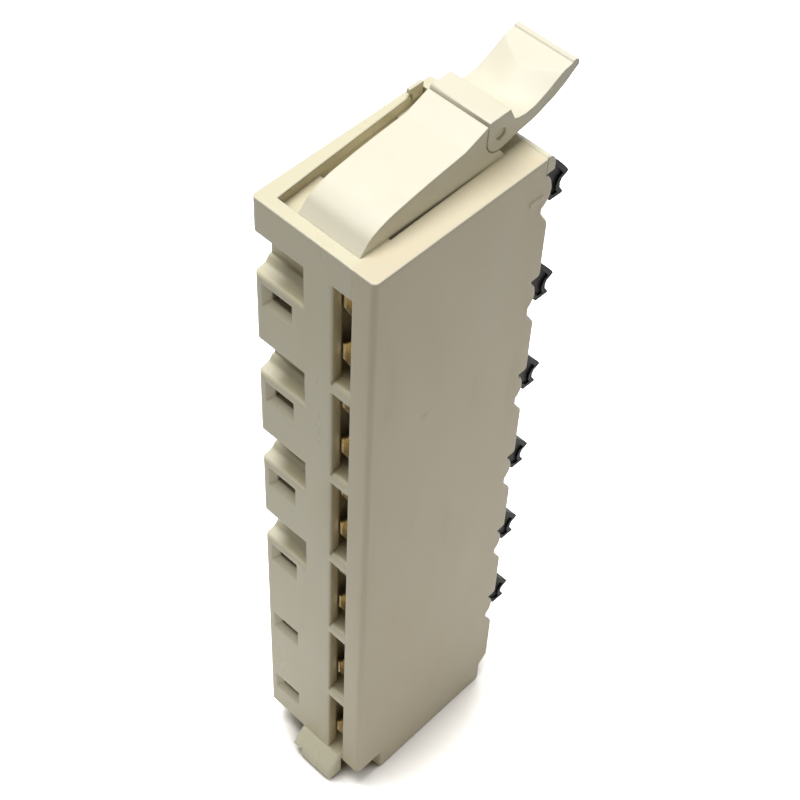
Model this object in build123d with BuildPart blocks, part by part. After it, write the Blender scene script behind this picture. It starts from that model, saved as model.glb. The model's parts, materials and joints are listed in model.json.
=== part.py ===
import os
from build123d import *

os.makedirs("parts", exist_ok=True)

# Main sizes in mm: X is the width, Y the depth from plug face to wiring face, Z the height
WIDTH = 24.7
DEPTH = 38.2
ROWS = 6
PITCH = 22.86
FOOT_LENGTH = 11.84
HEIGHT = ROWS * PITCH + FOOT_LENGTH
FIT = 0.3
RUN = 0.05
X_LEFT = -WIDTH / 2
X_RIGHT = WIDTH / 2
FACE_Y = -DEPTH / 2
FRONT_ROUND = 0.8

# Side cover, cut back beside each rocker
COVER_THICK = 2.05
COVER_IN = X_RIGHT - COVER_THICK
COVER_ROUND = 0.9
COVER_EDGE = 0.3
FLANGE_DEPTH = 3.5
FLANGE_TOP = 2.6
CUT_Y = DEPTH - 1.9
CUT_TOP = 3.5
CUT_LEVEL = 11.3
CUT_BOTTOM = 14.4
TOOTH_ROUND = 0.9
BOSS_R = 3.55
BOSS_R_FIRST = 4.1

# Lower end of the body
STEP_Y = 6.6
STEP_ROUND = 0.8
STEP_Z = 6.4
HEEL_Y = DEPTH - 2.0
HEEL_Z = 5.6
HEEL_CHAMFER = 1.9
HEEL_ROUND = 0.8

# Upper back corner: rounded, with a lug beside the edge of the cover
CROWN_ROUND = 1.8
LUG_INSET = 0.15
LUG_DROP = 3.3

# Contact slots of the plug face
SLOT_X1 = COVER_IN - 2.21
SLOT_X0 = SLOT_X1 - 3.99
SLOT_TOP = 7.33
SLOT_TOP_FIRST = 6.43
RIB_THICK = 2.5
RIB_ROUND = 0.9
RIB_ROUND_UNDER = 0.3
LIP_ROUND = 0.35
SLOT_WALL = 2.2
SLOT_FLARE = 1.1
SLOT_SIDE = 0.5
SLOT_DEEP = 13.0

# Blind windows of the plug face, sloped at the left and lower border
WINDOW_X0 = X_LEFT + 1.6
WINDOW_W = 6.5
WINDOW_TOP = 17.2
WINDOW_H = 4.9
WINDOW_SLOPE_X = 1.15
WINDOW_SLOPE_Z = 1.4
WINDOW_RIM = 1.1
WINDOW_DEEP = 7.5

# Coding notches at the left edge
NOTCHES = 4
NOTCH_TOP = 7.4
NOTCH_H = 8.75
NOTCH_DEEP = 3.7
NOTCH_W = 10.65
NOTCH_LIP = 6.75
NOTCH_TILT = 0.4
NOTCH_SILL = [(3.2, 1.9), (2.4, 0.85), (1.9, 0.65), (0.7, 0.5)]
NOTCH_NOSE = (0.2, 0.3)

# Recess, ramp and hinge of the top end
RIM = 2.3
RAMP_X0 = X_LEFT + 7.31
RAMP_TAPER = 0.55
RAMP_X1 = X_RIGHT - 5.15
RECESS_X0 = X_LEFT + 3.05
RECESS_NECK = 0.6
RECESS_BACK_X0 = X_LEFT + 1.05
RECESS_BACK = DEPTH - 3.7
SHELF_Y = 11.3
SHELF_DEEP = 2.0
GROOVE_DEEP = 3.8
SLIT = 0.45
SLIT_Y = 7.9
HINGE_Y = DEPTH - 7.3
HINGE_H = 4.9
HINGE_R = 1.0
HINGE_INSET = 0.35
HUB_R = 2.9
HUB_GAP = 0.2
TONGUE_R = 1.9
CHEEK = 1.3
GROOVE_BACK = HINGE_Y - 2.5
RAMP_FOOT = HINGE_Y + 1.4
DIAGONAL = 0.70711

# Ramp profile: front points from the rim, rear points from the hinge line, heights from the top face
RAMP_FRONT = [(1.55, 1.75), (2.2, 2.35), (3.1, 2.86), (4.6, 3.5), (9.0, 4.5), (13.4, 5.2)]
RAMP_KINK = (-7.6, 6.15)
RAMP_CREST = (-3.0, 7.95)

# Lever profile from the hinge line, heights from the top face
LEVER_PLATE = [(-2.8, 7.8), (-2.6, 8.3), (-2.3, 8.42), (1.7, 8.42), (2.7, 6.4)]
LEVER_SCOOP = [(2.7, 6.4), (3.5, 5.75), (4.9, 5.7), (6.3, 6.2), (8.0, 7.05), (9.8, 7.95)]
LEVER_PAD = [(9.8, 7.95), (15.35, 9.0), (15.55, 9.3)]
LEVER_SWEEP = (1.0, 0.62, 0.117)
SCOOP_AIR = 3.0
LEVER_TIP = [(15.55, 9.3), (16.35, 9.32), (16.85, 8.7)]
LEVER_NOSE = (16.7, 8.05)
LEVER_UNDER = [(16.7, 8.05), (13.4, 5.6), (10.5, 4.35), (7.7, 3.4), (4.1, 2.75)]

# Keeper post with a lip on the thin rear end of the left wall
POST_X = 0.75
POST_THICK = 0.7
POST_Y = RECESS_BACK - 2.7
POST_PROFILE = [(0, -1), (0, 0.5), (-0.7, 0.7), (-0.7, 1.5), (2.3, 1.5), (2.3, -1)]

# Rockers of the wiring face, turning on pins
ROCKER_X0 = X_LEFT + 4.35
ROCKER_X1 = COVER_IN - FIT
PIVOT_Y = DEPTH - 4.2
PIVOT_DROP = 6.9
PIN_R = 1.45
PIN_GRIP = 1.0
ROCKER_HUB = 3.3
POCKET = 0.4
BAY_Y = PIVOT_Y - ROCKER_HUB - 1.5
BAY_TOP = 1.0
BAY_BOTTOM = 15.4
BAY_LIP = 0.8
ROCKER_OUTLINE = [
    (2.6, 2.6),
    (5.9, 3.1),
    (8.08, 1.28),
    (9.79, -0.84),
    (10.72, -2.12),
    (10.94, -2.7),
    (10.49, -3.0),
    (9.57, -3.37),
    (9.2, -4.15),
    (9.28, -5.05),
    (10.17, -6.49),
    (10.0, -6.75),
    (7.1, -6.6),
    (6.56, -5.76),
    (2.3, -2.7),
]
ROCKER_POCKET = [
    (3.3, 1.5),
    (5.7, 2.1),
    (7.4, 0.7),
    (9.1, -1.45),
    (9.7, -2.4),
    (8.8, -2.85),
    (8.25, -4.1),
    (8.35, -5.2),
    (8.8, -5.85),
    (7.5, -5.75),
    (7.1, -5.1),
    (3.3, -2.3),
]

# Square wire entries with a sloped mouth, halfway between two bays
ENTRY = 3.7
ENTRY_MOUTH = 4.6
ENTRY_SLOPE = 1.5
ENTRY_DROP = (BAY_BOTTOM + PITCH + BAY_TOP) / 2
ENTRY_X = (ROCKER_X0 + 3.4, ROCKER_X1 - 4.6)
ENTRY_DEEP = 12.0

# Contacts: two leaves that face each other, on a tail
LEAF = 0.4
LEAF_H = 5.8
LEAF_DROP = 2.5
LEAF_FRONT = 2.1
LEAF_SLANT = [(-1.0, -0.1), (1.1, -0.1), (-0.1, 2.6), (-1.0, 2.6)]
LEAF_PATH = [(1.15, 2.1), (0.35, 4.4), (0.9, 9.0), (0.9, 10.9)]
LEAF_BASE = 11.4
CONTACT_X = SLOT_X1 - 2.14
CONTACT_SHIFT = PITCH / 4
TAIL = 0.6
TAIL_H = 3.6
TAIL_FRONT = 11.0
TAIL_END = 18.0

# Hook at the foot, shorter below at its left end
HOOK_X1 = SLOT_X1 - 0.79
HOOK_X0 = HOOK_X1 - 10.1
HOOK_SEG = HOOK_X1 - 8.0
HOOK_OUT = 3.0
HOOK_BACK = 0.4
HOOK_PLATE = 1.4
HOOK_ROUND = 0.9
HOOK_SHORT = 2.3


# Depths are counted from the plug face, which lies half the depth in front of the origin
def side_plane(x):
    return Plane(origin=(x, FACE_Y, 0), x_dir=(0, 1, 0), z_dir=(1, 0, 0))


def level_plane(z):
    return Plane(origin=(0, FACE_Y, z))


def upright_plane(y):
    return Plane(origin=(0, FACE_Y + y, 0), x_dir=(1, 0, 0), z_dir=(0, -1, 0))


def row(i):
    return HEIGHT - i * PITCH


def prism(points, x0, x1, mode=Mode.ADD):
    with BuildSketch(side_plane(x0)) as outline:
        with BuildLine():
            Polyline(*points, close=True)
        make_face()
    extrude(outline.sketch, amount=x1 - x0, mode=mode)


def block(x0, x1, y0, y1, z0, z1, mode=Mode.ADD):
    with Locations((x0, FACE_Y + y0, z0)):
        Box(x1 - x0, y1 - y0, z1 - z0, align=(Align.MIN,) * 3, mode=mode)


def rod(y, z, x0, x1, radius, mode=Mode.ADD):
    with BuildSketch(side_plane(x0)) as disc:
        with Locations((y, z)):
            Circle(radius)
    extrude(disc.sketch, amount=x1 - x0, mode=mode)


# Rectangular opening that narrows from the face to a given depth, then runs on straight
def sloped_opening(outer, inner, y_face, y_slope, y_end):
    for near, far, y0, y1 in ((outer, inner, y_face, y_slope), (inner, inner, y_slope, y_end)):
        faces = []
        for (xa, xb, za, zb), y in ((near, y0), (far, y1)):
            with BuildSketch(upright_plane(y)) as end:
                with Locations(((xa + xb) / 2, (za + zb) / 2)):
                    Rectangle(xb - xa, zb - za)
            faces.append(end.sketch)
        loft(faces, mode=Mode.SUBTRACT)


def shifted(points, y, z):
    return [(y + a, z + b) for a, b in points]


def save(builder, name):
    builder.part.label = name
    export_step(builder.part, "parts/" + name + ".step")
    print(name, round(builder.part.volume, 1))


def slot_range(i):
    top = row(i) - (SLOT_TOP_FIRST if i == 0 else SLOT_TOP)
    bottom = row(i + 1) - SLOT_TOP + RIB_THICK if i < ROWS - 1 else STEP_Z
    return bottom, top


def contact_height(i, side):
    return row(i) - SLOT_TOP - (PITCH - RIB_THICK) / 2 + side * CONTACT_SHIFT


# Side view of the body: step for the hook, heel at the back, upper back corner as given
def body_side(x, crown):
    with BuildSketch(side_plane(x)) as side:
        with BuildLine():
            Polyline(
                (0, STEP_Z),
                (STEP_Y, STEP_Z),
                (STEP_Y, 0),
                (HEEL_Y, 0),
                (HEEL_Y, HEEL_Z),
                (DEPTH, HEEL_Z + HEEL_CHAMFER),
                (DEPTH, HEIGHT),
                (0, HEIGHT),
                close=True,
            )
        make_face()
        bends = [v for v in side.vertices() if v.X > HEEL_Y - FIT and v.Y < HEIGHT / 2]
        fillet(bends, radius=HEEL_ROUND)
        if crown:
            corner = [v for v in side.vertices() if v.X > HEEL_Y and v.Y > HEIGHT / 2]
            fillet(corner, radius=crown)
    return side.sketch


# Contact slot: rounded rib edges at the mouth, rounded left lip, wider behind the face wall
def cut_slot(i):
    z0, z1 = slot_range(i)
    low = RIB_ROUND if i < ROWS - 1 else 0
    with BuildSketch(side_plane(SLOT_X0)) as mouth:
        with BuildLine():
            if low:
                Polyline((0, z1 + RIB_ROUND_UNDER), (-1, z1 + RIB_ROUND_UNDER), (-1, z0 - low), (0, z0 - low))
                RadiusArc((0, z0 - low), (low, z0), low)
            else:
                Polyline((0, z1 + RIB_ROUND_UNDER), (-1, z1 + RIB_ROUND_UNDER), (-1, z0), (low, z0))
            Polyline((low, z0), (SLOT_WALL, z0), (SLOT_WALL, z1), (RIB_ROUND_UNDER, z1))
            RadiusArc((RIB_ROUND_UNDER, z1), (0, z1 + RIB_ROUND_UNDER), RIB_ROUND_UNDER)
        make_face()
    extrude(mouth.sketch, amount=SLOT_X1 - SLOT_X0, mode=Mode.SUBTRACT)
    with BuildSketch(level_plane(z0)) as lip:
        with BuildLine():
            Polyline((SLOT_X0 - LIP_ROUND, 0), (SLOT_X0 - LIP_ROUND, -1), (SLOT_X0 + 1, -1))
            Polyline((SLOT_X0 + 1, -1), (SLOT_X0 + 1, LIP_ROUND), (SLOT_X0, LIP_ROUND))
            RadiusArc((SLOT_X0, LIP_ROUND), (SLOT_X0 - LIP_ROUND, 0), LIP_ROUND)
        make_face()
    extrude(lip.sketch, amount=z1 - z0, mode=Mode.SUBTRACT)
    block(SLOT_X0 - SLOT_FLARE, SLOT_X1 + SLOT_SIDE, SLOT_WALL, SLOT_DEEP, z0, z1, Mode.SUBTRACT)


# Coding notch: sloped floor, ledge and rounded nose at its lower end, open at the left edge
def cut_notch(i):
    z1 = row(i) - NOTCH_TOP
    lip = row(i) - NOTCH_LIP if i == 0 else z1
    z0 = z1 - NOTCH_H
    sill = shifted(NOTCH_SILL, 0, z0)
    with BuildSketch(side_plane(X_LEFT - 1)) as notch:
        with BuildLine():
            Polyline((-1, z0), (-1, lip), (0, lip), (NOTCH_DEEP, z1 - NOTCH_TILT))
            Polyline((NOTCH_DEEP, z1 - NOTCH_TILT), (NOTCH_DEEP, sill[0][1]), *sill)
            ThreePointArc(sill[-1], (NOTCH_NOSE[0], z0 + NOTCH_NOSE[1]), (0, z0 - 0.1))
            Polyline((0, z0 - 0.1), (-1, z0 - 0.1), (-1, z0))
        make_face()
    extrude(notch.sketch, amount=NOTCH_W + 1, mode=Mode.SUBTRACT)


# Recess of the top end: shelf in front, deeper groove behind, narrow slit beside the ramp
def cut_recess():
    with BuildSketch(level_plane(HEIGHT - SHELF_DEEP)) as shelf:
        with BuildLine():
            Polyline(
                (RECESS_X0, RIM),
                (RAMP_X1, RIM),
                (RAMP_X1, SLIT_Y),
                (RAMP_X1 + SLIT, SLIT_Y),
                (RAMP_X1, RAMP_FOOT),
                (RAMP_X0 + RAMP_TAPER, RAMP_FOOT),
                (RAMP_X0 + RAMP_TAPER, RECESS_BACK),
                (RECESS_BACK_X0, RECESS_BACK),
                (RECESS_X0 - RECESS_NECK, SHELF_Y),
                close=True,
            )
        make_face()
    extrude(shelf.sketch, amount=SHELF_DEEP + 1, mode=Mode.SUBTRACT)
    with BuildSketch(level_plane(HEIGHT - GROOVE_DEEP)) as groove:
        with BuildLine():
            Polyline(
                (RECESS_X0 - RECESS_NECK, SHELF_Y),
                (RAMP_X1, SHELF_Y),
                (RAMP_X1, GROOVE_BACK),
                (RECESS_BACK_X0 + 0.5, GROOVE_BACK),
                close=True,
            )
        make_face()
    extrude(groove.sketch, amount=GROOVE_DEEP, mode=Mode.SUBTRACT)


# Bay of one rocker with the seat of its pin and the two wire entries below it
def cut_bay(i):
    z1 = row(i) - (LUG_DROP if i == 0 else BAY_TOP)
    z0 = row(i) - BAY_BOTTOM
    bay = [
        (BAY_Y, z0 + 1),
        (BAY_Y + 1, z0),
        (PIVOT_Y + 2, z0),
        (DEPTH, z0 - BAY_LIP),
        (DEPTH + 1, z0 - BAY_LIP),
        (DEPTH + 1, z1),
        (BAY_Y, z1),
    ]
    prism(bay, ROCKER_X0 - FIT, COVER_IN, Mode.SUBTRACT)
    rod(PIVOT_Y, row(i) - PIVOT_DROP, ROCKER_X0 - FIT - PIN_GRIP, ROCKER_X0, PIN_R, Mode.SUBTRACT)
    zc = row(i) - ENTRY_DROP
    for x in ENTRY_X:
        mouth = (x - ENTRY_MOUTH / 2, x + ENTRY_MOUTH / 2, zc - ENTRY_MOUTH / 2, zc + ENTRY_MOUTH / 2)
        hole = (x - ENTRY / 2, x + ENTRY / 2, zc - ENTRY / 2, zc + ENTRY / 2)
        sloped_opening(mouth, hole, DEPTH, DEPTH - ENTRY_SLOPE, DEPTH - ENTRY_DEEP)


# Housing: moulded body with slots, windows, coding notches and rocker bays
def make_housing():
    with BuildPart() as p:
        extrude(body_side(X_LEFT, CROWN_ROUND), amount=COVER_IN - X_LEFT)
        left = p.edges().filter_by(Axis.Z).group_by(Axis.X)[0]
        fillet(left.sort_by(Axis.Y)[0], radius=FRONT_ROUND)
        # Rebates that the flanges of the side cover fill
        block(SLOT_X1, COVER_IN, 0, FLANGE_DEPTH, 0, HEIGHT, Mode.SUBTRACT)
        block(RAMP_X1 + SLIT, COVER_IN, 0, CUT_Y, HEIGHT - FLANGE_TOP, HEIGHT, Mode.SUBTRACT)
        # Lug beside the upper back end of the cover
        with BuildSketch(side_plane(COVER_IN)) as lug:
            with Locations((CUT_Y, HEIGHT - LUG_DROP)):
                Rectangle(DEPTH - CUT_Y, LUG_DROP, align=(Align.MIN, Align.MIN))
            fillet(lug.vertices().group_by(Axis.Y)[-1].sort_by(Axis.X)[-1], radius=CROWN_ROUND)
        extrude(lug.sketch, amount=COVER_THICK - LUG_INSET)
        for i in range(ROWS):
            cut_slot(i)
            for side in (1, -1):
                zc = contact_height(i, side)
                block(CONTACT_X - TAIL / 2, CONTACT_X + TAIL / 2, SLOT_DEEP, TAIL_END,
                      zc - TAIL_H / 2, zc + TAIL_H / 2, Mode.SUBTRACT)
            x1 = WINDOW_X0 + WINDOW_W
            z1 = row(i) - WINDOW_TOP
            z0 = z1 - WINDOW_H
            sloped_opening((WINDOW_X0, x1, z0, z1), (WINDOW_X0 + WINDOW_SLOPE_X, x1, z0 + WINDOW_SLOPE_Z, z1),
                           0, WINDOW_RIM, WINDOW_DEEP)
        for i in range(NOTCHES):
            cut_notch(i)
        cut_recess()
        post = shifted(POST_PROFILE, POST_Y, HEIGHT)
        prism(post, X_LEFT + POST_X, X_LEFT + POST_X + POST_THICK)
        for i in range(ROWS):
            cut_bay(i)
    return p


# Side cover: plain plate with front and top flanges, cut back and with a boss beside each rocker
def make_cover():
    with BuildPart() as p:
        with BuildSketch(side_plane(COVER_IN)) as plate:
            add(side_plane(COVER_IN).to_local_coords(body_side(COVER_IN, 0)))
            for i in range(ROWS):
                z = row(i)
                with BuildLine():
                    Polyline(
                        (DEPTH + 2, z + 2 if i == 0 else z - CUT_TOP),
                        (CUT_Y, z + 2 if i == 0 else z - CUT_TOP),
                        (CUT_Y, z - CUT_LEVEL),
                        (DEPTH, z - CUT_BOTTOM),
                        (DEPTH + 2, z - CUT_BOTTOM),
                        close=True,
                    )
                make_face(mode=Mode.SUBTRACT)
            for i in range(ROWS):
                with Locations((PIVOT_Y, row(i) - PIVOT_DROP)):
                    Circle(BOSS_R_FIRST if i == 0 else BOSS_R)
            teeth = [v for v in plate.vertices() if v.X > DEPTH - FIT and v.Y > HEEL_Z + 2 * HEEL_CHAMFER]
            fillet(teeth, radius=TOOTH_ROUND)
            step = plate.vertices().sort_by_distance((STEP_Y, STEP_Z, 0))[0]
            fillet(step, radius=STEP_ROUND)
        extrude(plate.sketch, amount=COVER_THICK)
        upright = p.edges().filter_by(Axis.Z).group_by(Axis.X)[-1]
        fillet(upright.sort_by(Axis.Y)[0], radius=COVER_ROUND)
        outer = p.faces().sort_by(Axis.X)[-1].edges()
        chamfer([e for e in outer if e.center().Y > FACE_Y + HEEL_Y - 1], length=COVER_EDGE)
        block(SLOT_X1, COVER_IN, 0, FLANGE_DEPTH, STEP_Z, HEIGHT)
        block(RAMP_X1 + SLIT, COVER_IN, 0, CUT_Y, HEIGHT - FLANGE_TOP, HEIGHT)
        for i in range(ROWS):
            rod(PIVOT_Y, row(i) - PIVOT_DROP, COVER_IN, COVER_IN + PIN_GRIP, PIN_R, Mode.SUBTRACT)
    return p


# Ramp of the top end: steep front, long gentle back with a kink, and a hinge tongue
def make_ramp():
    z = HEIGHT
    hz = z + HINGE_H
    front = shifted(RAMP_FRONT, RIM, z)
    kink = (HINGE_Y + RAMP_KINK[0], z + RAMP_KINK[1])
    crest = (HINGE_Y + RAMP_CREST[0], z + RAMP_CREST[1])
    socket = HUB_R + HUB_GAP
    with BuildPart() as p:
        with BuildSketch(side_plane(RAMP_X0)) as side:
            with BuildLine():
                Polyline((RIM, z - SHELF_DEEP), (RIM, z), front[0])
                Spline(*front, kink)
                Polyline(kink, crest, (HINGE_Y - socket, hz))
                ThreePointArc(
                    (HINGE_Y - socket, hz),
                    (HINGE_Y - socket * DIAGONAL, hz - socket * DIAGONAL),
                    (HINGE_Y, hz - socket),
                )
                Polyline(
                    (HINGE_Y, hz - socket),
                    (RAMP_FOOT, z),
                    (RAMP_FOOT, z - SHELF_DEEP),
                    (GROOVE_BACK, z - SHELF_DEEP),
                    (GROOVE_BACK, z - GROOVE_DEEP),
                    (SHELF_Y, z - GROOVE_DEEP),
                    (SHELF_Y, z - SHELF_DEEP),
                    (RIM, z - SHELF_DEEP),
                )
            make_face()
        extrude(side.sketch, amount=RAMP_X1 - RAMP_X0)
        # Left side tapers towards the hinge
        with BuildSketch(level_plane(z - GROOVE_DEEP)) as taper:
            with BuildLine():
                Polyline(
                    (RAMP_X0 - 1, RIM),
                    (RAMP_X0, RIM),
                    (RAMP_X0 + RAMP_TAPER, kink[0]),
                    (RAMP_X0 + RAMP_TAPER, RAMP_FOOT + 1),
                    (RAMP_X0 - 1, RAMP_FOOT + 1),
                    close=True,
                )
            make_face()
        extrude(taper.sketch, amount=GROOVE_DEEP + RAMP_CREST[1] + 1, mode=Mode.SUBTRACT)
        # Tongue between the cheeks of the lever
        x0 = RAMP_X0 + RAMP_TAPER
        rod(HINGE_Y, hz, x0 + CHEEK + FIT, RAMP_X1 - CHEEK - FIT, TONGUE_R)
        block(x0 + CHEEK + FIT, RAMP_X1 - CHEEK - FIT, crest[0] - 1, HINGE_Y, z, hz + TONGUE_R)
        rod(HINGE_Y, hz, x0, RAMP_X1, HINGE_R, Mode.SUBTRACT)
    return p


# Thumb lever: short hinge plate, then a finger scoop that sweeps up to a lipped tip
def make_lever():
    z = HEIGHT
    hz = z + HINGE_H
    x0 = RAMP_X0 + RAMP_TAPER
    plate = shifted(LEVER_PLATE, HINGE_Y, z)
    tip = shifted(LEVER_TIP, HINGE_Y, z)
    nose = (HINGE_Y + LEVER_NOSE[0], z + LEVER_NOSE[1])
    under = shifted(LEVER_UNDER, HINGE_Y, z)
    with BuildPart() as p:
        with BuildSketch(side_plane(x0)) as side:
            with BuildLine():
                Polyline((HINGE_Y - HUB_R, hz), *plate)
                Spline(*shifted(LEVER_SCOOP, HINGE_Y, z))
                Polyline(*shifted(LEVER_PAD, HINGE_Y, z))
                ThreePointArc(*tip)
                Polyline(tip[-1], nose)
                Spline(*under)
                Polyline(under[-1], (HINGE_Y, hz - HUB_R))
                ThreePointArc(
                    (HINGE_Y, hz - HUB_R),
                    (HINGE_Y - HUB_R * DIAGONAL, hz - HUB_R * DIAGONAL),
                    (HINGE_Y - HUB_R, hz),
                )
            make_face()
        extrude(side.sketch, amount=RAMP_X1 - x0)
        # Each half of the scoop runs along a slanted line, which leaves a ridge in the middle
        middle = (x0 + RAMP_X1) / 2
        scoop = shifted(LEVER_SCOOP, HINGE_Y, z)
        for s in (-1, 1):
            with BuildSketch(side_plane(middle)) as air:
                with BuildLine():
                    Spline(*scoop)
                    over = scoop[-1][1] + SCOOP_AIR
                    Polyline(scoop[-1], (scoop[-1][0], over), (scoop[0][0], over), scoop[0])
                make_face()
            sweep = Vector(s * LEVER_SWEEP[0], LEVER_SWEEP[1], LEVER_SWEEP[2])
            extrude(air.sketch, amount=sweep.length * (RAMP_X1 - x0), dir=sweep, mode=Mode.SUBTRACT)
        # Space for the hinge tongue, then the bore
        reach = HINGE_Y + TONGUE_R + 0.5
        block(x0 + CHEEK, RAMP_X1 - CHEEK, HINGE_Y - HUB_R - 1, reach, z, hz + TONGUE_R + FIT, Mode.SUBTRACT)
        rod(HINGE_Y, hz, x0, RAMP_X1, HINGE_R + RUN, Mode.SUBTRACT)
    return p


def make_latch_pin():
    with BuildPart() as p:
        rod(HINGE_Y, HEIGHT + HINGE_H, RAMP_X0 + RAMP_TAPER + HINGE_INSET, RAMP_X1 - HINGE_INSET, HINGE_R)
    return p


# Rocker: hub on its pin, saddle-shaped outer face with two lips, pocketed sides
def make_rocker(i):
    y = PIVOT_Y
    z = row(i) - PIVOT_DROP
    with BuildPart() as p:
        prism(shifted(ROCKER_OUTLINE, y, z), ROCKER_X0, ROCKER_X1)
        pocket = shifted(ROCKER_POCKET, y, z)
        prism(pocket, ROCKER_X1 - POCKET, ROCKER_X1, Mode.SUBTRACT)
        prism(pocket, ROCKER_X0, ROCKER_X0 + POCKET, Mode.SUBTRACT)
        rod(y, z, ROCKER_X0, ROCKER_X1, ROCKER_HUB)
        rod(y, z, ROCKER_X0, ROCKER_X1, PIN_R + RUN, Mode.SUBTRACT)
    return p


def make_rocker_pin(i):
    with BuildPart() as p:
        rod(PIVOT_Y, row(i) - PIVOT_DROP, ROCKER_X0 - FIT - PIN_GRIP, COVER_IN + PIN_GRIP, PIN_R)
    return p


# Contact: two sprung leaves that face each other, joined to a tail seated in the housing
def make_contact(i, side):
    zc = contact_height(i, side)
    z0 = zc - LEAF_DROP
    with BuildPart() as p:
        for s in (-1, 1):
            inner = [(CONTACT_X + s * a, y) for a, y in LEAF_PATH]
            outer = [(CONTACT_X + s * (a + LEAF), y) for a, y in LEAF_PATH[:-1]]
            base = [(CONTACT_X, LEAF_BASE - 0.5), (CONTACT_X, LEAF_BASE)]
            corner = (outer[-1][0], LEAF_BASE)
            with BuildSketch(level_plane(z0)) as leaf:
                with BuildLine():
                    Polyline(*inner, *base, corner, *reversed(outer), close=True)
                make_face()
            extrude(leaf.sketch, amount=LEAF_H)
        # Slanted tips
        prism(shifted(LEAF_SLANT, LEAF_FRONT, z0), CONTACT_X - 3, CONTACT_X + 3, Mode.SUBTRACT)
        block(CONTACT_X - TAIL / 2, CONTACT_X + TAIL / 2, TAIL_FRONT, TAIL_END,
              zc - TAIL_H / 2, zc + TAIL_H / 2)
    return p


# Hook: thin plate under the plug face that ends in a curved, rounded bar
def make_hook():
    top = STEP_Z
    near = HOOK_ROUND * (1 - DIAGONAL)
    with BuildPart() as p:
        for x0, x1, low in ((HOOK_SEG, HOOK_X1, 0.0), (HOOK_X0, HOOK_SEG, HOOK_SHORT)):
            with BuildSketch(side_plane(x0)) as side:
                with BuildLine():
                    Spline((-0.4, top), (-1.5, top - 1.3), (-2.5, top - 2.6), (-HOOK_OUT, low + HOOK_ROUND))
                    ThreePointArc(
                        (-HOOK_OUT, low + HOOK_ROUND),
                        (-HOOK_OUT + near, low + near),
                        (-HOOK_OUT + HOOK_ROUND, low),
                    )
                    Polyline(
                        (-HOOK_OUT + HOOK_ROUND, low),
                        (HOOK_BACK, low),
                        (HOOK_BACK, top - HOOK_PLATE),
                        (STEP_Y, top - HOOK_PLATE),
                        (STEP_Y, top),
                        (-0.4, top),
                    )
                make_face()
            extrude(side.sketch, amount=x1 - x0)
        end = p.faces().sort_by(Axis.X)[-1].edges()
        fillet([e for e in end if e.center().Y < FACE_Y - HOOK_BACK], radius=HOOK_ROUND / 2)
    return p


save(make_housing(), "housing")
save(make_cover(), "side_cover")
save(make_ramp(), "latch_ramp")
save(make_lever(), "thumb_lever")
save(make_latch_pin(), "thumb_lever_pin")
save(make_hook(), "foot_hook")
for i in range(ROWS):
    n = str(i + 1)
    save(make_rocker(i), "rocker_" + n)
    save(make_rocker_pin(i), "rocker_pin_" + n)
    save(make_contact(i, 1), "contact_" + n + "_upper")
    save(make_contact(i, -1), "contact_" + n + "_lower")
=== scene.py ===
import json
from math import radians

import bmesh
import bpy
from mathutils import Matrix, Vector


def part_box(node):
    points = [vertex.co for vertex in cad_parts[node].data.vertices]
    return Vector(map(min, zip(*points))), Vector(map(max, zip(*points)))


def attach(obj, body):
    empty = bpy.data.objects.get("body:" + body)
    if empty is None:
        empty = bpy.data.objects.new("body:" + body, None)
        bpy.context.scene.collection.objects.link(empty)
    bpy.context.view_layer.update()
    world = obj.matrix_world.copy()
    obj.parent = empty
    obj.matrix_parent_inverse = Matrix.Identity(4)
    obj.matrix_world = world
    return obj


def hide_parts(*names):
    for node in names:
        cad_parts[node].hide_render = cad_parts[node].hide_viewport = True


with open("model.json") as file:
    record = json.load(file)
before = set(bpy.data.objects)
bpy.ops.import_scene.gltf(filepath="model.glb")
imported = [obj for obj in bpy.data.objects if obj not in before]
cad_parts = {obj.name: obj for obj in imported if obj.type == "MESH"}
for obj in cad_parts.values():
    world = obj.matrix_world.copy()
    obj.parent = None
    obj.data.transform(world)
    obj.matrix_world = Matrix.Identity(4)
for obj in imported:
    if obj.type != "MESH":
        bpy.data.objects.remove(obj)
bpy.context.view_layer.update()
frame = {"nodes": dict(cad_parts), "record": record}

# Lengths are in metres, unless a comment says millimetres
MM = 0.001
WHITE = (1.0, 1.0, 1.0)

# Camera of the photograph: place, direction in degrees, lens and film in millimetres
CAMERA_PLACE = (0.12260, -0.13773, 0.32513)
CAMERA_AZIMUTH = 41.40
CAMERA_ELEVATION = 51.03
CAMERA_ROLL = 3.23
CAMERA_LENS = 79.10
CAMERA_SENSOR = 36.0
CAMERA_NEAR = 0.01
CAMERA_FAR = 20.0

# Light: a weak sky, and lamps with their place, what they are aimed at, size, power and colour
SKY_LEVEL = 0.12
LAMPS = {
    "key_lamp": ((-0.13, 0.0, 0.73), (0, 0, 0.1), 0.5, 4.35, WHITE),
    "fill_lamp": ((0.55, -0.06, 0.16), (0, 0, 0.07), 0.35, 0.2, (1.0, 0.94, 0.86)),
    "back_lamp": ((-0.32, 0.48, 0.22), (0, 0, 0.07), 0.35, 0.3, WHITE),
}

# Floor: what it sends back to the block, what the camera sees, its glow, and the shade close to the block
FLOOR_SIZE = 0.64
FLOOR_BOUNCE = (0.84, 0.82, 0.77)
FLOOR_SEEN = (2.6, 2.6, 2.6)
FLOOR_GLOW = 0.4
CONTACT_SHADE = (0.22, 0.17, 0.11)
CONTACT_REACH = 0.022
CONTACT_SPAN = (0.3, 0.85)

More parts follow.
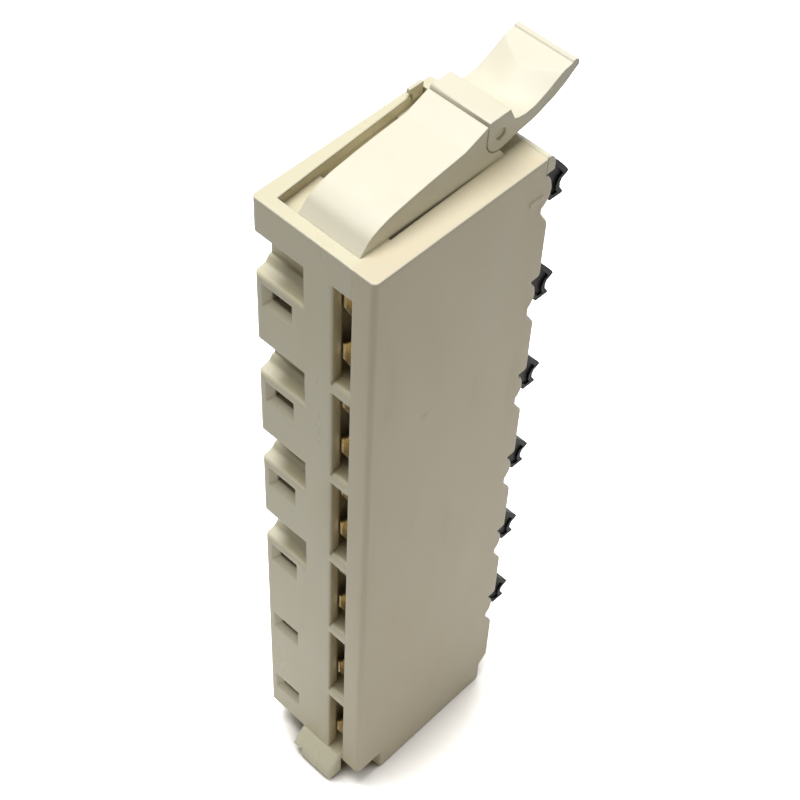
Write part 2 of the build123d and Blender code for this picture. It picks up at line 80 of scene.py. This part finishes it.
# Pieces that share a finish
TOP_PIECES = ("latch_ramp", "thumb_lever", "thumb_lever_pin")
ROWS = range(1, 7)
ROCKERS = [f"rocker_{i}" for i in ROWS]
PINS = [f"rocker_pin_{i}" for i in ROWS]
CONTACTS = [f"contact_{i}_{side}" for i in ROWS for side in ("upper", "lower")]

# Colours of the plastics: as moulded, yellowed with age, with grime and painted shade in the corners, and
# with a painted highlight at the edges
HOUSING_CLEAN = (0.755, 0.708, 0.52)
HOUSING_AGED = (0.745, 0.69, 0.485)
HOUSING_GRIME_AND_SHADE = (0.22, 0.16, 0.085)
# The cover's colours are browner than the housing's, as painted warm shade of its side
COVER_SHADED_CLEAN = (0.745, 0.672, 0.49)
COVER_SHADED_AGED = (0.74, 0.655, 0.46)
TOP_CLEAN = (0.79, 0.75, 0.60)
TOP_AGED = (0.78, 0.735, 0.57)
TOP_GRIME_AND_WARM_SHADE = (0.62, 0.49, 0.23)
FOOT_CLEAN = (0.88, 0.84, 0.62)
FOOT_AGED = (0.86, 0.81, 0.59)
FOOT_HIGHLIGHT = (0.95, 0.93, 0.78)
IVORY_GRIME_AND_SHADE = (0.36, 0.28, 0.16)
IVORY_HIGHLIGHT = (0.93, 0.91, 0.77)
ROCKER_CLEAN = (0.01, 0.01, 0.01)
ROCKER_AGED = (0.015, 0.015, 0.014)
ROCKER_GRIME_AND_SHADE = (0.006, 0.006, 0.005)
ROCKER_HIGHLIGHT = (0.04, 0.04, 0.04)

# Metals: bright and dull colour, and how the scratches are stretched along the piece
STEEL_BRIGHT = (0.6, 0.59, 0.57)
STEEL_DULL = (0.45, 0.44, 0.42)
PIN_STRETCH = (0.1, 1, 1)
BRASS_BRIGHT = (1.0, 0.86, 0.56)
BRASS_DULL = (0.95, 0.76, 0.42)
CONTACT_STRETCH = (1, 1, 0.1)

# Patterns: scale, detail and roughness of their noise
DRIFT = (38, 3, 0.5)
STREAKS = (160, 5, 0.62)
GRAIN = (4200, 2, 0.5)
SCRATCHES = (2600, 3, 0.6)
PATCHES = (420, 3, 0.5)
STREAK_STRETCH = (1.0, 1.0, 0.22)

# Span of a pattern's or a measure's value over which its effect comes in
DRIFT_SPAN = (0.35, 0.7)
STAIN_SPAN = (0.6, 0.82)
PLASTIC_GLOSS_SPAN = (0.3, 0.75)
CORNER_SPAN = (0.1, 0.6)
EDGE_TURN_SPAN = (0.99, 0.86)
EDGE_OPEN_SPAN = (0.75, 0.95)
PATCH_SPAN = (0.4, 0.7)
METAL_GLOSS_SPAN = (0.3, 0.7)

# How far the roughness goes below and above its middle value, and height and strength of the fine relief
PLASTIC_GLOSS = (-0.05, 0.1)
METAL_GLOSS = (-0.08, 0.12)
PLASTIC_RELIEF = (0.02 * MM, 0.22)
METAL_RELIEF = (0.01 * MM, 0.15)
METAL_EDGE = 0.06 * MM
EDGE_SAMPLES = 4
CORNER_SAMPLES = 6
CONTACT_SAMPLES = 16

# Seam between housing and cover, where the rounding of the edges fades out
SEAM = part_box("side_cover")[0][0]
SEAM_SPAN = (0.1 * MM, 0.5 * MM)
SEAM_EDGE = 0.02 * MM

# Small faded mark on the cover
MARK_PLACE = (0.01235, -0.0066, 0.110)
MARK_SPAN = (0.2 * MM, 1.3 * MM)
MARK_STRENGTH = 0.22

# Small moulded ridge on the outside of the cover, beside the first rocker
RIDGE_PLACE = (12.3 * MM, 15.4 * MM, 141.5 * MM)
RIDGE_SIZE = (0.6 * MM, 3.2 * MM, 1.1 * MM)
RIDGE_ROUND = 0.24 * MM

# Thumb lever: the solid is cut off behind its hub, and a spoon a little narrower is joined to it
HINGE_ABOVE_TOP = 4.9 * MM
LEVER_CUT = 2.7 * MM
SPOON_INSET = 0.02 * MM

# Spoon, in millimetres: each row gives the distance from the hinge and, above the block's top face,
# the heights of the spoon's top and underside. The first numbers are those of its root in the hub
SPOON_ROOT = (2.2, 6.0, 2.6)
SPOON_ROWS = (
    (2.9, 6.05, 2.65),
    (3.8, 5.65, 2.75),
    (5.2, 5.65, 2.95),
    (6.6, 6.3, 3.15),
    (8.2, 7.2, 3.55),
    (9.9, 7.97, 4.15),
    (11.9, 8.35, 4.9),
    (14.1, 8.77, 6.1),
    (15.3, 8.98, 6.95),
    (15.5, 9.3, 7.1),
    (16.35, 9.32, 7.75),
    (16.85, 8.8, 8.05),
)

# Rows, counted from 0, whose side edges lie further out, and higher or lower, than their middle
SPOON_LEANS = {
    2: (0.2, -0.2),
    3: (0.8, -0.6),
    4: (1.9, -0.35),
    5: (3.5, 0.66),
    6: (2.4, 0.45),
    7: (0.75, 0.14),
}

# Rows with a sharp line across the top, and how sharp it is
SPOON_CREASES = {5: 0.9, 8: 0.8, 9: 0.8}
SPOON_CUTS = (-0.5, 0, 0.5)
SPOON_SMOOTHING = 3

# Vertices as near as this lie on one line, nearer ones become one, and edges flatter than this are smooth
NEAR = 0.01 * MM
MERGE = 0.001 * MM
SMOOTH_ANGLE = radians(32)


# Node helpers: a socket is fed a number or colour, or what another node gives
def feed(tree, socket, value):
    if isinstance(value, bpy.types.NodeSocket):
        tree.links.new(value, socket)
    elif socket.type == "RGBA":
        socket.default_value = (*value, 1.0)
    else:
        socket.default_value = value


def new_material(name):
    material = bpy.data.materials.new(name)
    material.use_nodes = True
    return material, material.node_tree


def add_maths(tree, operation, *values):
    step = tree.nodes.new("ShaderNodeMath")
    step.operation = operation
    for socket, value in zip(step.inputs, values):
        feed(tree, socket, value)
    return step.outputs["Value"]


def add_measure(tree, operation, first, second):
    measure = tree.nodes.new("ShaderNodeVectorMath")
    measure.operation = operation
    feed(tree, measure.inputs[0], first)
    feed(tree, measure.inputs[1], second)
    return measure.outputs["Value"]


# A value goes over its span from one result to the other, and stays level beyond
def add_range(tree, value, span, results):
    ramp = tree.nodes.new("ShaderNodeMapRange")
    names = ("Value", "From Min", "From Max", "To Min", "To Max")
    for name, number in zip(names, (value, *span, *results)):
        feed(tree, ramp.inputs[name], number)
    return ramp.outputs["Result"]


def add_mix(tree, share, first, second):
    mix = tree.nodes.new("ShaderNodeMix")
    mix.data_type = "RGBA"
    for name, value in (("Factor", share), ("A", first), ("B", second)):
        feed(tree, mix.inputs[name], value)
    return mix.outputs["Result"]


def add_stretch(tree, place, stretch):
    stretched = tree.nodes.new("ShaderNodeMapping")
    feed(tree, stretched.inputs["Vector"], place)
    feed(tree, stretched.inputs["Scale"], stretch)
    return stretched.outputs["Vector"]


def add_noise(tree, place, scale, detail, roughness):
    noise = tree.nodes.new("ShaderNodeTexNoise")
    for name, value in (("Vector", place), ("Scale", scale), ("Detail", detail), ("Roughness", roughness)):
        feed(tree, noise.inputs[name], value)
    return noise.outputs["Fac"]


def add_openness(tree, reach, samples):
    corner = tree.nodes.new("ShaderNodeAmbientOcclusion")
    corner.samples = samples
    feed(tree, corner.inputs["Distance"], reach)
    return corner.outputs["AO"]


def add_soft_edges(tree, radius):
    bevel = tree.nodes.new("ShaderNodeBevel")
    bevel.samples = EDGE_SAMPLES
    feed(tree, bevel.inputs["Radius"], radius)
    return bevel.outputs["Normal"]


def add_bump(tree, height, depth, strength, normal):
    bump = tree.nodes.new("ShaderNodeBump")
    for name, value in (("Height", height), ("Distance", depth), ("Strength", strength), ("Normal", normal)):
        feed(tree, bump.inputs[name], value)
    return bump.outputs["Normal"]


# Edge radius that fades out at the seam between housing and cover, which closes flush
def add_seam_radius(tree, place, radius):
    parts = tree.nodes.new("ShaderNodeSeparateXYZ")
    feed(tree, parts.inputs["Vector"], place)
    gap = add_maths(tree, "SUBTRACT", parts.outputs["X"], SEAM)
    return add_range(tree, add_maths(tree, "ABSOLUTE", gap), SEAM_SPAN, (SEAM_EDGE, radius))


# Share of a surface point that lies on a rounded outer edge, where a painted highlight lightens the moulded
# plastic
def add_edge_share(tree, rounded, openness):
    flat = tree.nodes.new("ShaderNodeNewGeometry").outputs["True Normal"]
    turned = add_range(tree, add_measure(tree, "DOT_PRODUCT", rounded, flat), EDGE_TURN_SPAN, (0, 1))
    outer = add_range(tree, openness, EDGE_OPEN_SPAN, (0, 1))
    return add_maths(tree, "MULTIPLY", turned, outer)


# Full where the camera, gloss or glass looks, and nothing for the light on the block
def add_seen(tree):
    path = tree.nodes.new("ShaderNodeLightPath").outputs
    seen = add_maths(tree, "MAXIMUM", path["Is Camera Ray"], path["Is Glossy Ray"])
    return add_maths(tree, "MAXIMUM", seen, path["Is Transmission Ray"])


def finish_surface(tree, shader, tone, roughness, normal):
    for name, value in (("Base Color", tone), ("Roughness", roughness), ("Normal", normal)):
        feed(tree, shader.inputs[name], value)


# Moulded plastic: slow drift of tone, faint streaks, painted shade in corners, a painted highlight on
# rounded outer edges and a fine grain
def moulded_plastic(name, clean, aged, grime_and_shade, roughness=0.42, smudge=0.25, edge=0.18 * MM, corner_shade=0.5,
                    depth=1.6 * MM, flush=False, shine=0.5, mark=None, highlight_strength=0.9, highlight_tone=IVORY_HIGHLIGHT):
    material, tree = new_material(name)
    shader = tree.nodes["Principled BSDF"]
    place = tree.nodes.new("ShaderNodeTexCoord").outputs["Object"]
    drift = add_range(tree, add_noise(tree, place, *DRIFT), DRIFT_SPAN, (0, 1))
    tone = add_mix(tree, drift, clean, aged)
    streaks = add_noise(tree, add_stretch(tree, place, STREAK_STRETCH), *STREAKS)
    tone = add_mix(tree, add_range(tree, streaks, STAIN_SPAN, (0, smudge)), tone, grime_and_shade)
    if mark is not None:
        spot = add_range(tree, add_measure(tree, "DISTANCE", place, mark), MARK_SPAN, (MARK_STRENGTH, 0))
        tone = add_mix(tree, spot, tone, grime_and_shade)
    # Painted shade: the colour darkens in corners and recesses, where the ambient occlusion finds surfaces
    # close by
    openness = add_openness(tree, depth, CORNER_SAMPLES)
    tone = add_mix(tree, add_range(tree, openness, CORNER_SPAN, (corner_shade, 0)), tone, grime_and_shade)
    if flush:
        edge = add_seam_radius(tree, place, edge)
    rounded = add_soft_edges(tree, edge)
    # Painted highlight: rounded outer edges are lightened towards a pale tone
    painted_highlight = add_maths(tree, "MULTIPLY", add_edge_share(tree, rounded, openness), highlight_strength)
    tone = add_mix(tree, painted_highlight, tone, highlight_tone)
    limits = [roughness + change for change in PLASTIC_GLOSS]
    gloss = add_range(tree, streaks, PLASTIC_GLOSS_SPAN, limits)
    normal = add_bump(tree, add_noise(tree, place, *GRAIN), *PLASTIC_RELIEF, rounded)
    finish_surface(tree, shader, tone, gloss, normal)
    shader.inputs["IOR"].default_value = 1.5
    shader.inputs["Specular IOR Level"].default_value = shine
    return material


# Metal: dull patches, and fine scratches along the piece
def rolled_metal(name, bright, dull, stretch, roughness):
    material, tree = new_material(name)
    shader = tree.nodes["Principled BSDF"]
    place = tree.nodes.new("ShaderNodeTexCoord").outputs["Object"]
    patches = add_range(tree, add_noise(tree, place, *PATCHES), PATCH_SPAN, (0, 1))
    tone = add_mix(tree, patches, bright, dull)
    scratches = add_noise(tree, add_stretch(tree, place, stretch), *SCRATCHES)
    limits = [roughness + change for change in METAL_GLOSS]
    gloss = add_range(tree, scratches, METAL_GLOSS_SPAN, limits)
    normal = add_bump(tree, scratches, *METAL_RELIEF, add_soft_edges(tree, METAL_EDGE))
    finish_surface(tree, shader, tone, gloss, normal)
    shader.inputs["Metallic"].default_value = 1.0
    return material


def dress(names, material):
    for name in names:
        for slot in frame["nodes"][name].material_slots:
            slot.material = material


# Floor: keeps the block's shadow, and shows white to the camera, to gloss and to glass
def make_floor():
    bpy.ops.mesh.primitive_plane_add(size=FLOOR_SIZE, location=(0, 0, 0))
    floor = bpy.context.object
    floor.name = "floor"
    material, tree = new_material("floor_white")
    tree.nodes.remove(tree.nodes["Principled BSDF"])
    # Painted shadow: close to the block, what the camera sees darkens towards the contact shade, and the
    # glow fades
    contact = add_openness(tree, CONTACT_REACH, CONTACT_SAMPLES)
    open_floor = add_range(tree, contact, CONTACT_SPAN, (0, 1))
    shown = add_mix(tree, open_floor, CONTACT_SHADE, FLOOR_SEEN)
    watched = tree.nodes.new("ShaderNodeLightPath").outputs["Is Camera Ray"]
    matt = tree.nodes.new("ShaderNodeBsdfDiffuse")
    feed(tree, matt.inputs["Color"], add_mix(tree, watched, FLOOR_BOUNCE, shown))
    bright = add_maths(tree, "MULTIPLY", add_seen(tree), open_floor)
    glow = tree.nodes.new("ShaderNodeEmission")
    feed(tree, glow.inputs["Strength"], add_maths(tree, "MULTIPLY", bright, FLOOR_GLOW))
    both = tree.nodes.new("ShaderNodeAddShader")
    feed(tree, both.inputs[0], matt.outputs["BSDF"])
    feed(tree, both.inputs[1], glow.outputs["Emission"])
    feed(tree, tree.nodes["Material Output"].inputs["Surface"], both.outputs["Shader"])
    floor.data.materials.append(material)


# Sky: white where it is seen, a plain soft level where it lights
def make_sky():
    world = bpy.data.worlds.new("studio")
    bpy.context.scene.world = world
    world.use_nodes = True
    tree = world.node_tree
    background = tree.nodes["Background"]
    level = add_range(tree, add_seen(tree), (0, 1), (SKY_LEVEL, 1))
    feed(tree, background.inputs["Color"], WHITE)
    feed(tree, background.inputs["Strength"], level)


def make_lamp(name, place, aim, size, power, colour):
    data = bpy.data.lights.new(name, "AREA")
    data.shape = "DISK"
    data.size = size
    data.energy = power
    data.color = colour
    lamp = bpy.data.objects.new(name, data)
    bpy.context.scene.collection.objects.link(lamp)
    lamp.location = place
    lamp.rotation_euler = (Vector(place) - Vector(aim)).to_track_quat("Z", "Y").to_euler()


def make_camera():
    data = bpy.data.cameras.new("camera")
    data.lens = CAMERA_LENS
    data.sensor_width = CAMERA_SENSOR
    data.clip_start = CAMERA_NEAR
    data.clip_end = CAMERA_FAR
    camera = bpy.data.objects.new("camera", data)
    bpy.context.scene.collection.objects.link(camera)
    turn = Matrix.Rotation(radians(CAMERA_AZIMUTH), 4, "Z")
    tilt = Matrix.Rotation(radians(90 - CAMERA_ELEVATION), 4, "X")
    roll = Matrix.Rotation(radians(CAMERA_ROLL), 4, "Z")
    camera.matrix_world = Matrix.Translation(CAMERA_PLACE) @ turn @ tilt @ roll
    bpy.context.scene.camera = camera


# Modelling helpers: one piece is active at a time, and its vertices are picked by place or row
def take(piece):
    bpy.ops.object.select_all(action="DESELECT")
    piece.select_set(True)
    bpy.context.view_layer.objects.active = piece


# A block at its size and place, left in edit mode with all of it picked
def add_block(name, middle, size):
    bpy.ops.object.select_all(action="DESELECT")
    bpy.ops.mesh.primitive_cube_add(size=1, location=middle)
    block = bpy.context.object
    block.name = name
    block.scale = size
    bpy.ops.object.transform_apply(location=True, rotation=False, scale=True)
    bpy.ops.object.mode_set(mode="EDIT")
    bpy.ops.mesh.select_all(action="SELECT")
    return block


def pick(piece, wanted):
    mesh = bmesh.from_edit_mesh(piece.data)
    mesh.select_mode = {"VERT"}
    for vertex in mesh.verts:
        vertex.select = wanted(vertex)
    mesh.select_flush_mode()
    bmesh.update_edit_mesh(piece.data)


def shift(piece, wanted, out, up):
    pick(piece, wanted)
    bpy.ops.transform.translate(value=(0, out, up))


def crease(piece, wanted, sharpness):
    bpy.ops.mesh.select_mode(type="EDGE")
    bpy.ops.mesh.select_all(action="DESELECT")
    mesh = bmesh.from_edit_mesh(piece.data)
    for edge in mesh.edges:
        edge.select = all(wanted(vertex) for vertex in edge.verts)
    bmesh.update_edit_mesh(piece.data)
    bpy.ops.transform.edge_crease(value=sharpness)
    bpy.ops.mesh.select_mode(type="VERT")


# Numbers of the vertices along the top of each row
def top_rows(spoon, ends):
    mesh = bmesh.from_edit_mesh(spoon.data)
    rows = []
    for end in ends:
        row = [vertex for vertex in mesh.verts if abs(vertex.co.y - end) < NEAR]
        level = sum(vertex.co.z for vertex in row) / len(row)
        rows.append([vertex.index for vertex in row if vertex.co.z > level])
    return rows


# Side edges of a row go all the way out and up, and what lies halfway to the middle goes half
def lean(spoon, row, middle, half, out, up):
    for share in (0.5, 1):
        def beside(vertex):
            return vertex.index in row and abs(abs(vertex.co.x - middle) - share * half) < NEAR
        shift(spoon, beside, out * share * MM, up * share * MM)


# Spoon of the thumb lever, grown row by row away from the hinge
def make_spoon(left, right, hinge, top):
    middle = (left + right) / 2
    half = (right - left) / 2
    root, high, low = SPOON_ROOT
    first = SPOON_ROWS[0][0]
    centre = (middle, hinge + (root + first) / 2 * MM, top + (high + low) / 2 * MM)
    spoon = add_block("spoon", centre, (right - left, (first - root) * MM, (high - low) * MM))
    for share in SPOON_CUTS:
        bpy.ops.mesh.select_all(action="SELECT")
        bpy.ops.mesh.bisect(plane_co=(middle + share * half, 0, 0), plane_no=(1, 0, 0))
    end = hinge + first * MM
    ends = []
    for number, (reach, height, under) in enumerate(SPOON_ROWS):
        if number:
            pick(spoon, lambda vertex: vertex.co.y > end - NEAR)
            step = hinge + reach * MM - end
            bpy.ops.mesh.extrude_region_move(TRANSFORM_OT_translate={"value": (0, step, 0)})
            end += step
        near = end - NEAR
        level = top + (high + low) / 2 * MM
        shift(spoon, lambda vertex: vertex.co.y > near and vertex.co.z > level, 0, (height - high) * MM)
        shift(spoon, lambda vertex: vertex.co.y > near and vertex.co.z < level, 0, (under - low) * MM)
        high, low = height, under
        ends.append(end)
    rows = top_rows(spoon, ends)
    for number, (out, up) in SPOON_LEANS.items():
        lean(spoon, rows[number], middle, half, out, up)
    for edge in (left, right):
        crease(spoon, lambda vertex: abs(vertex.co.x - edge) < NEAR, 1)
    for number, sharpness in SPOON_CREASES.items():
        crease(spoon, lambda vertex: vertex.index in rows[number], sharpness)
    bpy.ops.object.mode_set(mode="OBJECT")
    smooth = spoon.modifiers.new("smooth", "SUBSURF")
    smooth.levels = SPOON_SMOOTHING
    smooth.render_levels = SPOON_SMOOTHING
    bpy.ops.object.modifier_apply(modifier=smooth.name)
    return spoon


# Thumb lever: hub and cheeks as moulded, with the spoon's surface shaped smoothly
def make_lever(material):
    joints = frame["record"]["behaviour"]["joints"]
    place = next(joint["pos_m"] for joint in joints if joint["name"] == "thumb_lever_hinge")
    hinge = place[1]
    top = place[2] - HINGE_ABOVE_TOP
    low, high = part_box("thumb_lever")
    lever = bpy.data.objects.new("thumb_lever_moulding", frame["nodes"]["thumb_lever"].data.copy())
    bpy.context.scene.collection.objects.link(lever)
    take(lever)
    bpy.ops.object.mode_set(mode="EDIT")
    bpy.ops.mesh.select_all(action="SELECT")
    bpy.ops.mesh.remove_doubles(threshold=MERGE)
    cut = (0, hinge + LEVER_CUT, 0)
    bpy.ops.mesh.bisect(plane_co=cut, plane_no=(0, 1, 0), clear_outer=True, use_fill=True)
    bpy.ops.object.mode_set(mode="OBJECT")
    spoon = make_spoon(low[0] + SPOON_INSET, high[0] - SPOON_INSET, hinge, top)
    take(lever)
    join = lever.modifiers.new("join", "BOOLEAN")
    join.operation = "UNION"
    join.solver = "EXACT"
    join.object = spoon
    bpy.ops.object.modifier_apply(modifier=join.name)
    bpy.data.objects.remove(spoon)
    bpy.ops.object.shade_smooth_by_angle(angle=SMOOTH_ANGLE)
    lever.data.materials.clear()
    lever.data.materials.append(material)
    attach(lever, "thumb_lever")
    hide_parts("thumb_lever")


def make_cover_ridge(material):
    ridge = add_block("cover_ridge", RIDGE_PLACE, RIDGE_SIZE)
    bpy.ops.mesh.bevel(offset=RIDGE_ROUND, segments=3, profile=0.5)
    bpy.ops.object.mode_set(mode="OBJECT")
    bpy.ops.object.shade_smooth_by_angle(angle=SMOOTH_ANGLE)
    ridge.data.materials.append(material)
    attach(ridge, "block")


# Camera and light
make_camera()
make_sky()
for lamp_name, lamp_values in LAMPS.items():
    make_lamp(lamp_name, *lamp_values)
make_floor()

# Housing, with painted shade reaching deep into its slots
dress(["housing"], moulded_plastic("ivory_plastic", HOUSING_CLEAN, HOUSING_AGED, HOUSING_GRIME_AND_SHADE,
                                   roughness=0.3, smudge=0.05, edge=0.6 * MM, corner_shade=0.95,
                                   depth=7 * MM, flush=True))

# Side cover, with its mark and its ridge, in an ivory made browner as painted shade of its side
ivory_cover = moulded_plastic("ivory_cover", COVER_SHADED_CLEAN, COVER_SHADED_AGED, IVORY_GRIME_AND_SHADE, roughness=0.36,
                              smudge=0.15, edge=0.6 * MM, flush=True, mark=MARK_PLACE)
dress(["side_cover"], ivory_cover)
make_cover_ridge(ivory_cover)

# Ramp, thumb lever and its pin, in a lighter ivory, with a warm painted shade in their grooves
ivory_light = moulded_plastic("ivory_light", TOP_CLEAN, TOP_AGED, TOP_GRIME_AND_WARM_SHADE,
                              smudge=0.08, edge=0.3 * MM, corner_shade=0.6, depth=1.2 * MM, highlight_strength=0.3)
dress(TOP_PIECES, ivory_light)
make_lever(ivory_light)

# Foot, in a yellower ivory with well rounded edges and a painted highlight along them
dress(["foot_hook"], moulded_plastic("ivory_warm", FOOT_CLEAN, FOOT_AGED, IVORY_GRIME_AND_SHADE, roughness=0.24,
                                     smudge=0.1, edge=0.9 * MM, highlight_tone=FOOT_HIGHLIGHT))

# Rockers, in a matt black, with a faint painted highlight on their edges
dress(ROCKERS, moulded_plastic("rocker_black", ROCKER_CLEAN, ROCKER_AGED, ROCKER_GRIME_AND_SHADE,
                               edge=0.1 * MM, shine=0.15, highlight_strength=0.25, highlight_tone=ROCKER_HIGHLIGHT))

# Steel pins of the rockers and brass contacts
dress(PINS, rolled_metal("pin_steel", STEEL_BRIGHT, STEEL_DULL, PIN_STRETCH, roughness=0.32))
dress(CONTACTS, rolled_metal("contact_brass", BRASS_BRIGHT, BRASS_DULL, CONTACT_STRETCH, roughness=0.25))

bpy.context.scene.view_settings.view_transform = "Standard"

bpy.context.view_layer.update()
